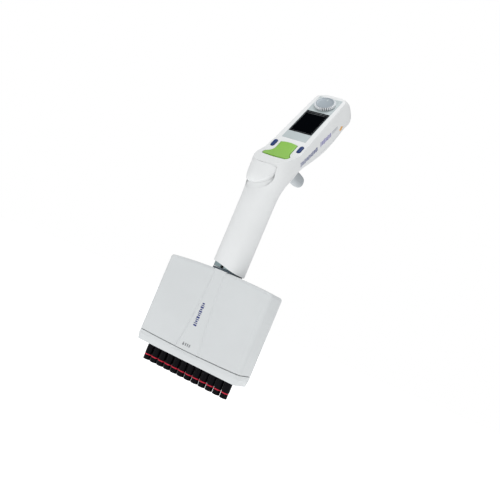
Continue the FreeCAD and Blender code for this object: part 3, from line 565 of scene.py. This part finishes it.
def make_front_prints():
    """Generic marks on the raised band: a column of short blue bars and a small grey drop with two bars."""
    for i, (a, b) in enumerate(bar_row(0.0, 12)):
        reach = 1.9 if i % 3 else 1.35
        outline = rectangle(COLUMN_X - reach, COLUMN_X + reach, COLUMN_TOP - b, COLUMN_TOP - a)
        flat_mark(f"front_bar_{i}", outline, on_band, "lower_part", "shell_white", "print_blue")
    x, z, r = DROP
    turns = [math.pi * k / 12 for k in range(-14, 3)]
    drop = [(x + r * math.cos(a), z + r * math.sin(a)) for a in turns] + [(x, z + DROP_TIP)]
    flat_mark("volume_drop", drop, on_band, "lower_part", "shell_white", "print_grey")
    for i in range(3):
        x = -4.0 + 2.4 * i
        flat_mark(f"volume_bar_{i}", rectangle(x, x + 1.3, 32.2, 35.2), on_band, "lower_part", "shell_white",
                  "print_grey")


def surface_of(*nodes):
    """Ray target made of CAD nodes."""
    points, faces = [], []
    for node in nodes:
        mesh = frame["nodes"][node].data
        start = len(points)
        points += [v.co.copy() for v in mesh.vertices]
        faces += [tuple(start + v for v in p.vertices) for p in mesh.polygons]
    return BVHTree.FromPolygons(points, faces)


def side_print(name, tree, outline, centre, material):
    """A print on the right side of the head: rings of an (l, n) outline dropped onto the shell."""
    count = len(outline)
    rings = (1.0, 0.66, 0.33)

    def drop(l, n, lift):
        hit, normal, _, _ = tree.ray_cast(panel(40, l, n), Vector((-1, 0, 0)))
        if hit is None:
            hit, normal, _, _ = tree.find_nearest(panel(20, l, n))
        if normal.x < 0:
            normal = -normal
        return hit + normal * lift * MM

    points = []
    for lift in (-0.05, 0.06):
        for scale in rings:
            for l, n in outline:
                along = centre[0] + (l - centre[0]) * scale
                points.append(drop(along, centre[1] + (n - centre[1]) * scale, lift))
        points.append(drop(*centre, lift))
    layer = 3 * count + 1
    faces = []
    for base in (0, layer):
        faces += [tuple(base + v for v in face) for face in strip_faces(3, count, closed=True)]
        inner = base + 2 * count
        faces += [(inner + j, inner + (j + 1) % count, base + 3 * count) for j in range(count)]
    faces += [(j, (j + 1) % count, layer + (j + 1) % count, layer + j) for j in range(count)]
    add_piece(name, points, faces, "shell_white", "handle", (), material)


def make_side_prints():
    """Generic marks along the right side of the head: three rows of bars and a small diamond."""
    tree = surface_of("handle_front_shell", "handle_rear_shell")

    def slab(name, l0, l1, height, material, lift=0.0):
        middle = (l0 + l1) / 2
        n = SIDE_N + SIDE_SLOPE * (middle - SIDE_L) + lift
        outline = []
        for u, v in rectangle(-height / 2, height / 2, l0 - middle, l1 - middle):
            outline.append((middle + v, n + u + SIDE_SLOPE * v))
        side_print(name, tree, outline, (middle, n), material)

    for i, (a, b) in enumerate(bar_row(SIDE_L, 18)):
        slab(f"side_blue_{i}", a, b, 4.6 if i % 4 else 5.8, "print_blue")
    for i, (a, b) in enumerate(bar_row(84.0, 12)):
        slab(f"side_violet_{i}", a, b, 5.2 if i % 4 else 6.6, "print_violet", 1.0)
    for i, (a, b) in enumerate(bar_row(111.0, 7)):
        slab(f"side_pale_{i}", a, b, 4.2, "print_pale", 1.6)
    diamond = [(129.0, -25.4), (134.4, -22.6), (139.8, -26.4), (134.6, -29.6)]
    side_print("side_badge", tree, diamond, (134.4, -26.0), "print_orange")


def make_print_materials():
    """Finishes of the pieces that only this file has."""
    MATERIALS["dial_silver"] = moulded("dial_silver", (0.31, 0.355, 0.39), 0.4, 0.06, 1800.0, Metallic=0.15)
    # near-white dial teeth: painted highlight of light on the silver serrations
    MATERIALS["dial_teeth_painted_highlight"] = moulded("dial_teeth_painted_highlight", (0.86, 0.88, 0.9), 0.3, 0.05)
    # near-black dial core: painted shade in the gaps between the teeth
    MATERIALS["dial_gap_painted_shade"] = moulded("dial_gap_painted_shade", (0.018, 0.021, 0.025), 0.5, 0.1, Specular_IOR_Level=0.15)
    MATERIALS["lcd_grey"] = moulded("lcd_grey", (0.16, 0.17, 0.18), 0.35, 0.1)
    for name, base in (("print_blue", (0.012, 0.03, 0.19)), ("print_violet", (0.17, 0.15, 0.42)),
                       ("print_grey", (0.25, 0.26, 0.27)), ("print_pale", (0.48, 0.5, 0.53)),
                       ("print_orange", (0.78, 0.40, 0.10))):
        MATERIALS[name] = moulded(name, base, 0.45, 0.08, 3000.0, 0.000005)


make_print_materials()
make_rocker()
make_keys()
make_dial()
make_window_marks()
make_screws()
make_springs()
make_front_prints()
make_side_prints()


# --- stage: camera, floor and light --------------------------------------------------------------------
def aim(name, kind, place, target, **settings):
    data = bpy.data.lights.new(name, kind)
    for key, value in settings.items():
        setattr(data, key, value)
    lamp = bpy.data.objects.new(name, data)
    bpy.context.scene.collection.objects.link(lamp)
    lamp.location = place
    lamp.rotation_euler = (Vector(target) - Vector(place)).to_track_quat("-Z", "Y").to_euler()
    return lamp


def make_camera():
    """Seen from the right front, a little below the middle, with the camera rolled."""
    roll = math.radians(22.73)
    right = Vector((0.89101, 0.45399, 0.0))
    up = Vector((0.027716, -0.054396, 0.998135))
    back = right.cross(up)
    across = right * math.cos(roll) + up * math.sin(roll)
    upward = up * math.cos(roll) - right * math.sin(roll)
    data = bpy.data.cameras.new("camera")
    data.sensor_width = 36.0
    data.lens = 48.17
    data.clip_start = 0.01
    camera = bpy.data.objects.new("camera", data)
    bpy.context.scene.collection.objects.link(camera)
    place = bench(325.8, -612.08, 105.13)
    turn = Matrix((across, upward, back)).transposed().to_4x4()
    camera.matrix_world = Matrix.Translation(place) @ turn
    bpy.context.scene.camera = camera


def make_stage():
    low = CAD_BOUNDS[0]
    mesh = bpy.data.meshes.new("floor")
    reach, z = 3.0, low[2] - 0.06
    corners = [(-reach, -reach, z), (reach, -reach, z), (reach, reach, z), (-reach, reach, z)]
    mesh.from_pydata(corners, [], [(0, 1, 2, 3)])
    floor = bpy.data.objects.new("floor", mesh)
    bpy.context.scene.collection.objects.link(floor)
    mat, shader = principled("floor_white", (0.95, 0.95, 0.95), 0.8)
    shader.inputs["Emission Color"].default_value = (1, 1, 1, 1)
    shader.inputs["Emission Strength"].default_value = 0.6
    mesh.materials.append(mat)

    world = bpy.data.worlds.new("studio")
    bpy.context.scene.world = world
    world.use_nodes = True
    nodes, links = world.node_tree.nodes, world.node_tree.links
    soft = nodes["Background"]
    soft.inputs["Color"].default_value = (0.97, 0.985, 1.0, 1)
    soft.inputs["Strength"].default_value = 0.52
    white = nodes.new("ShaderNodeBackground")
    white.inputs["Strength"].default_value = 1.0
    white.inputs["Color"].default_value = (1, 1, 1, 1)
    path = nodes.new("ShaderNodeLightPath")
    mix = nodes.new("ShaderNodeMixShader")
    links.new(path.outputs["Is Camera Ray"], mix.inputs["Fac"])
    links.new(soft.outputs["Background"], mix.inputs[1])
    links.new(white.outputs["Background"], mix.inputs[2])
    links.new(mix.outputs["Shader"], nodes["World Output"].inputs["Surface"])

    middle = bench(0, 10, 180)
    aim("key", "AREA", middle + Vector((0.5, -0.95, 0.55)), middle, energy=1.5, size=0.8)
    aim("top", "AREA", middle + Vector((0.0, -0.25, 1.3)), middle, energy=7.6, size=0.8)
    scene = bpy.context.scene
    scene.view_settings.view_transform = "Standard"
    scene.view_settings.look = "None"


make_camera()
make_stage()
